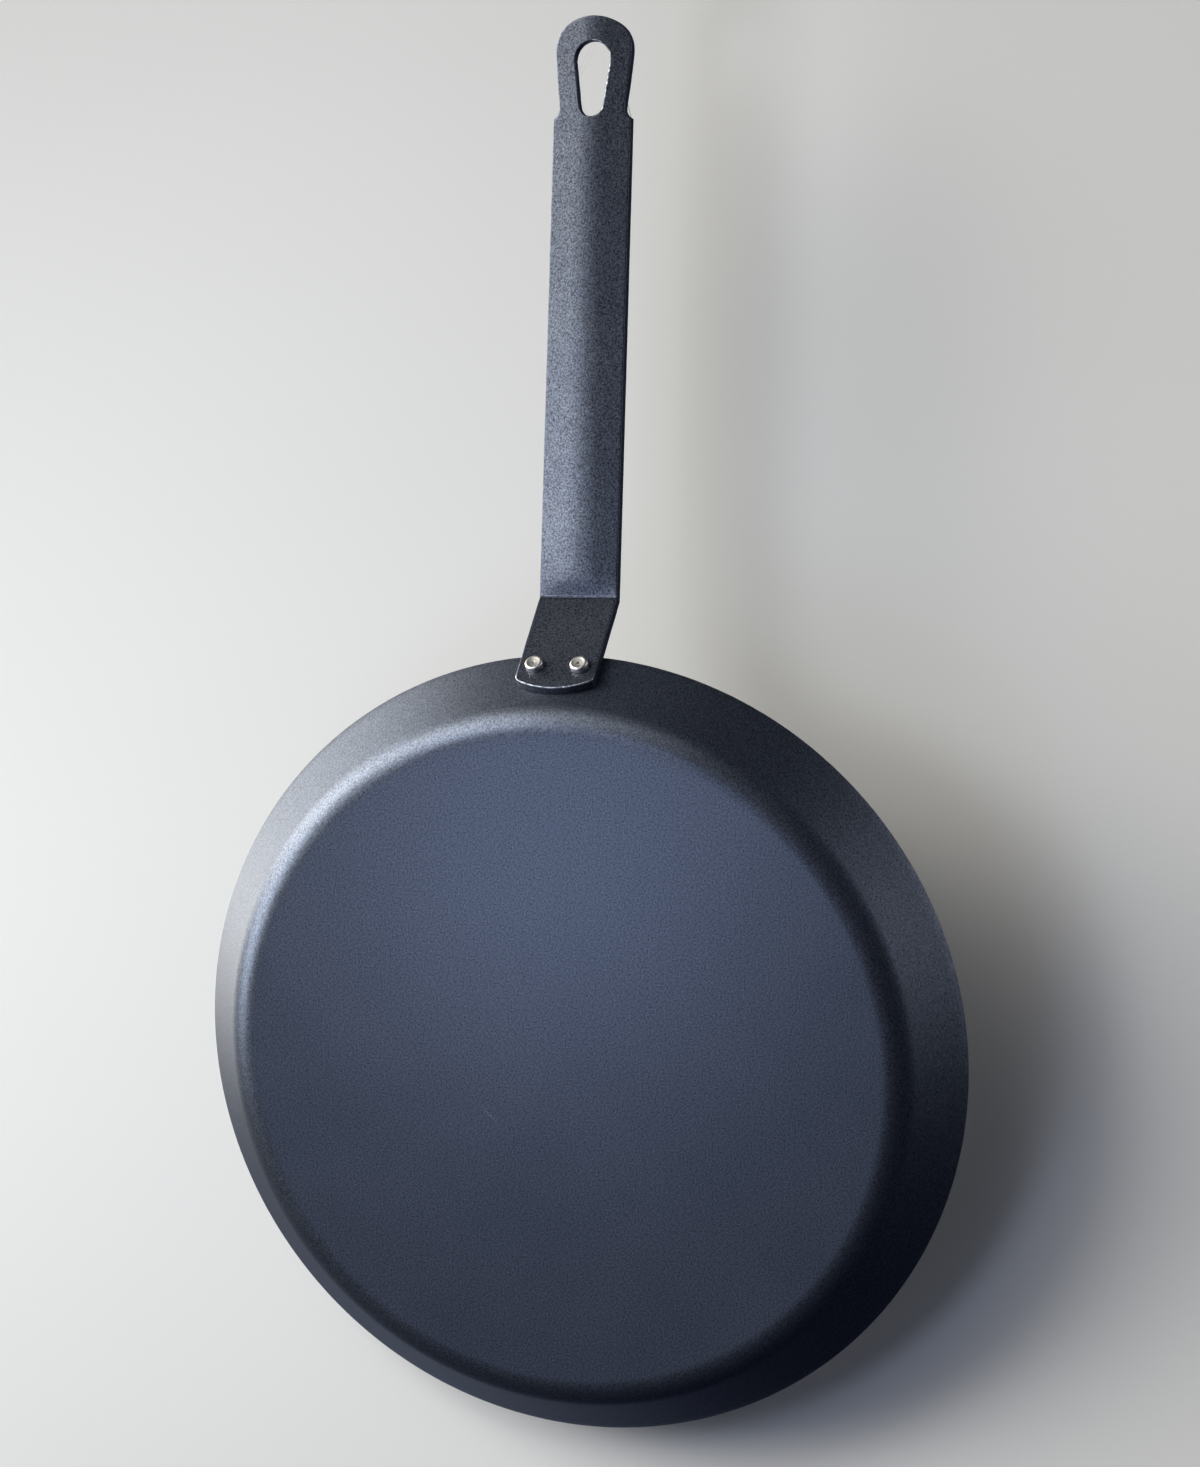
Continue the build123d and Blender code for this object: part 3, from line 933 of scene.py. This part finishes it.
def rivet_profile():
    """(radius, height, pit) from the tail's middle to the head's middle.

    Height is from the wall's outer face, inwards.
    """
    seat = -THICK
    end = seat - TAIL_H
    floor = end + TAIL_DISH
    rows = [(0, floor + 0.24, 1.0), (0.20, floor + 0.20, 1.0), (0.40, floor + 0.05, 1.0)]
    for x in (0.58, 0.86, 1.14, 1.42, 1.68, 1.92, 2.12, 2.28):
        share = (x / DISH_R) ** 2
        rows.append((x, end + TAIL_DISH * (1 - share) ** 1.2, max(0.0, 0.62 - 0.62 * share)))
    for i in range(11):
        t = math.radians(90 - 90 * i / 10)
        x = TAIL_R - TAIL_ROUND + TAIL_ROUND * math.cos(t)
        rows.append((x, end + TAIL_ROUND * (1 - math.sin(t)), 0.0))
    rows += [
        (TAIL_R + 0.02, seat - 0.35, 0.1),
        (TAIL_R + 0.04, seat - 0.12, 0.6),
        (TAIL_R - 0.02, seat + 0.03, 1.0),
        (SHANK_R, seat + 0.06, 1.0),
        (SHANK_R, SHEET - 0.2, 1.0),
        (HEAD_R - 0.05, SHEET - 0.05, 1.0),
        (HEAD_R, SHEET + 0.12, 0.7),
        (HEAD_R - 0.03, SHEET + HEAD_RIM - 0.16, 0.15),
    ]
    sag = HEAD_H - HEAD_RIM
    dome_r = (sag**2 + HEAD_R**2) / (2 * sag)
    for i in range(15):
        x = (HEAD_R - 0.12) * (1 - i / 15)
        rows.append((x, SHEET + HEAD_H - dome_r + math.sqrt(dome_r * dome_r - x * x), 0.0))
    rows.append((0, SHEET + HEAD_H, 0.0))
    return rows


def build_rivet(piece, side, phase, grime):
    hole_x, hole_z = by_wall(RIM_TO_CREASE - RIVET_U)
    verts, faces, pit = lathe(
        rivet_profile(),
        96,
        origin=(hole_x, side * RIVET_PITCH / 2, hole_z),
        axis=(-math.sin(WALL), 0, math.cos(WALL)),
        side=(0, 1, 0),
        wobble=lambda t: 1 + 0.010 * np.sin(2 * t + phase) + 0.006 * np.sin(3 * t + 2 * phase),
    )
    rivet = make_mesh(piece + "_visual", verts, faces, mat_rivet, {"pit": pit * grime})
    stand_in(rivet, piece)


for rivet_row in RIVETS:
    build_rivet(*rivet_row)


# ---------------------------------------------------------------- staging, metres
# Two plain sets, one at a time: a pale backdrop behind the hanging pan when the camera looks
# up at its underside, and a pale floor under the standing pan when it looks level or down.
def looking_up(nodes):
    """1 when the camera looks up, 0 when it looks level or down."""
    turned = nodes.node("ShaderNodeVectorTransform")
    turned.vector_type, turned.convert_from, turned.convert_to = "VECTOR", "WORLD", "CAMERA"
    turned.inputs[0].default_value = (0, 0, 1)
    return nodes.math("GREATER_THAN", nodes.height_of(turned.outputs[0]), 0.2)


def camera_ray(nodes):
    return nodes.node("ShaderNodeLightPath").outputs["Is Camera Ray"]


def stage_material(name, color, when_up, full, gone):
    """A diffuse sheet seen in one set only; it fades between two distances from the origin."""
    mat, nodes = material(name)
    up = looking_up(nodes)
    seen = up if when_up else nodes.sub(1.0, up)
    soft = nodes.noise(nodes.coords(), scale=3.0, detail=3.0, rough=0.5)
    darker = rgb(*(channel * 0.97 for channel in color))
    diffuse = nodes.node("ShaderNodeBsdfDiffuse")
    tint = nodes.mix(nodes.step(soft, zero=0.25, one=0.75), darker, rgb(*color))
    nodes.link(tint, diffuse.inputs[0])
    position = nodes.node("ShaderNodeNewGeometry").outputs["Position"]
    dist = nodes.vmath("LENGTH", position, out=1)
    alpha = nodes.mul(seen, nodes.step(dist, zero=gone, one=full))
    if when_up:
        # the backdrop throws no light back and blocks none, so it can't fill the dark side
        alpha = nodes.mul(alpha, camera_ray(nodes))
    clear = nodes.node("ShaderNodeBsdfTransparent")
    nodes.output(nodes.mix_shaders(alpha, clear, diffuse))
    return mat


def plane(name, corners, mat):
    mesh = bpy.data.meshes.new(name)
    mesh.from_pydata(corners, [], [(0, 1, 2, 3)])
    mesh.materials.append(mat)
    mesh.update()
    obj = bpy.data.objects.new(name, mesh)
    scene.collection.objects.link(obj)


FLOOR_Z = -0.0004
plane(
    "floor",
    [(x, y, FLOOR_Z) for x, y in ((-4, -4), (4, -4), (4, 4), (-4, 4))],
    stage_material("pale_floor", (0.74, 0.745, 0.75), when_up=False, full=1.0, gone=3.4),
)
BACKDROP_TILT = math.atan2(0.110, 0.51)
BACKDROP_X, BACKDROP_Z = -0.150, 0.0400
tilt_x, tilt_z = math.cos(BACKDROP_TILT), math.sin(BACKDROP_TILT)
plane(
    "backdrop",
    [
        (BACKDROP_X + reach * tilt_x, y, BACKDROP_Z + reach * tilt_z)
        for reach, y in ((3, -3), (-3, -3), (-3, 3), (3, 3))
    ],
    stage_material("pale_backdrop", (0.585, 0.577, 0.553), when_up=True, full=5.0, gone=6.0),
)

# ---------------------------------------------------------------- light: soft blobs, dim room
# Direction to the light, tightness, strength, colour.
WHITE = (1.0, 1.0, 1.0)
KEY = (1.0, 0.985, 0.93)
HANGING = [
    ((0.62, -0.60, -0.50), 45.0, 10.6, KEY),
    ((0.35, -0.85, -0.35), 45.0, 17.7, KEY),
    ((0.30, -0.95, 0.05), 45.0, 13.6, KEY),
    ((0.60, -0.80, 0.10), 45.0, 5.8, KEY),
    ((0.00, -0.90, 0.43), 45.0, 6.1, KEY),
    ((0.75, -0.20, -0.63), 45.0, 2.2, WHITE),
    ((-0.25, -0.32, -0.91), 45.0, 0.72, (0.58, 0.70, 1.0)),
    ((0.30, 0.92, 0.24), 14.0, 2.05, (0.90, 0.94, 1.0)),
    ((-0.62, -0.45, 0.64), 14.0, 0.34, (0.68, 0.78, 1.0)),
]
HANGING_AMBIENT = (0.016, 0.021, 0.044)
STANDING = [
    ((-0.25, 0.30, 0.92), 10.0, 4.1, (1.0, 0.995, 0.98)),
    ((0.85, -0.50, 0.34), 16.0, 3.2, WHITE),
    ((-0.80, -0.55, 0.36), 12.0, 1.5, (0.96, 0.98, 1.0)),
    ((-0.25, 0.90, 0.34), 14.0, 1.8, WHITE),
    ((0.80, 0.55, 0.45), 16.0, 1.2, (0.97, 0.98, 1.0)),
]
STANDING_AMBIENT = (0.105, 0.108, 0.115)
SEEN_ROOM = (0.70, 0.71, 0.72, 1)  # what the camera itself sees
# Place, aim, diameter, watts, colour.
LAMPS = (
    ((0.05, -0.60, -0.25), (0.03, 0, 0), 0.30, 1.76, (0.89, 0.94, 1.0)),
    ((0.30, -0.25, -0.35), (0.05, 0, 0), 0.15, 0.69, (0.89, 0.94, 1.0)),
    ((0.20, -0.10, -0.55), (0.03, 0, 0), 0.20, 0.28, (0.58, 0.68, 1.0)),
    ((-0.005, -0.125, -0.37), (0.03, 0, 0), 0.16, 0.215, (0.64, 0.74, 1.0)),
)


def blob_light(nodes, vector, blobs, ambient):
    total = None
    for direction, tightness, strength, tint in blobs:
        facing = nodes.dot(vector, tuple(Vector(direction).normalized()))
        falloff = nodes.math("EXPONENT", nodes.mul(nodes.sub(facing, 1.0), tightness))
        blob = nodes.scale(tuple(channel * strength for channel in tint), falloff)
        total = blob if total is None else nodes.vmath("ADD", total, blob)
    return nodes.vmath("ADD", total, ambient)


def build_world():
    world = bpy.data.worlds.new("studio")
    scene.world = world
    world.use_nodes = True
    nodes = Nodes(world.node_tree)
    vector = nodes.coords("Generated")
    standing = blob_light(nodes, vector, STANDING, STANDING_AMBIENT)
    hanging = blob_light(nodes, vector, HANGING, HANGING_AMBIENT)
    lit = nodes.node("ShaderNodeBackground")
    nodes.link(nodes.mix(looking_up(nodes), standing, hanging), lit.inputs[0])
    plain = nodes.node("ShaderNodeBackground")
    plain.inputs[0].default_value = SEEN_ROOM
    mixed = nodes.mix_shaders(camera_ray(nodes), lit, plain)
    nodes.output(mixed, "ShaderNodeOutputWorld")
    world.cycles.sampling_method = "MANUAL"
    world.cycles.sample_map_resolution = 512


def build_lamp(name, where, aim, size, watts, tint):
    data = bpy.data.lights.new(name, "AREA")
    data.shape, data.size, data.energy, data.color = "DISK", size, watts, tint
    lamp = bpy.data.objects.new(name, data)
    scene.collection.objects.link(lamp)
    lamp.location = where
    lamp.rotation_euler = (Vector(aim) - Vector(where)).to_track_quat("-Z", "Y").to_euler()
    lamp.visible_camera = False


build_world()
# soft lamps under the hanging pan; the floor hides them from the standing one
for index, lamp_row in enumerate(LAMPS):
    build_lamp("lamp_%d" % index, *lamp_row)

# ---------------------------------------------------------------- camera and view
camera = bpy.data.objects.new("camera", bpy.data.cameras.new("camera"))
scene.collection.objects.link(camera)
camera.data.sensor_fit = "AUTO"
camera.data.sensor_width = 36.0
camera.data.lens = 122.7
camera.data.clip_start, camera.data.clip_end = 0.01, 50
camera.matrix_world = Matrix((
    (-0.0432, 0.9821, 0.1833, 0.4303),
    (0.9480, -0.0176, 0.3178, 0.5627),
    (0.3153, 0.1875, -0.9303, -1.5906),
    (0, 0, 0, 1),
))
scene.camera = camera
scene.view_settings.view_transform = "Standard"
scene.view_settings.look = "None"
scene.view_settings.exposure = 0.0
scene.view_settings.gamma = 1.0
scene.cycles.max_bounces = 8
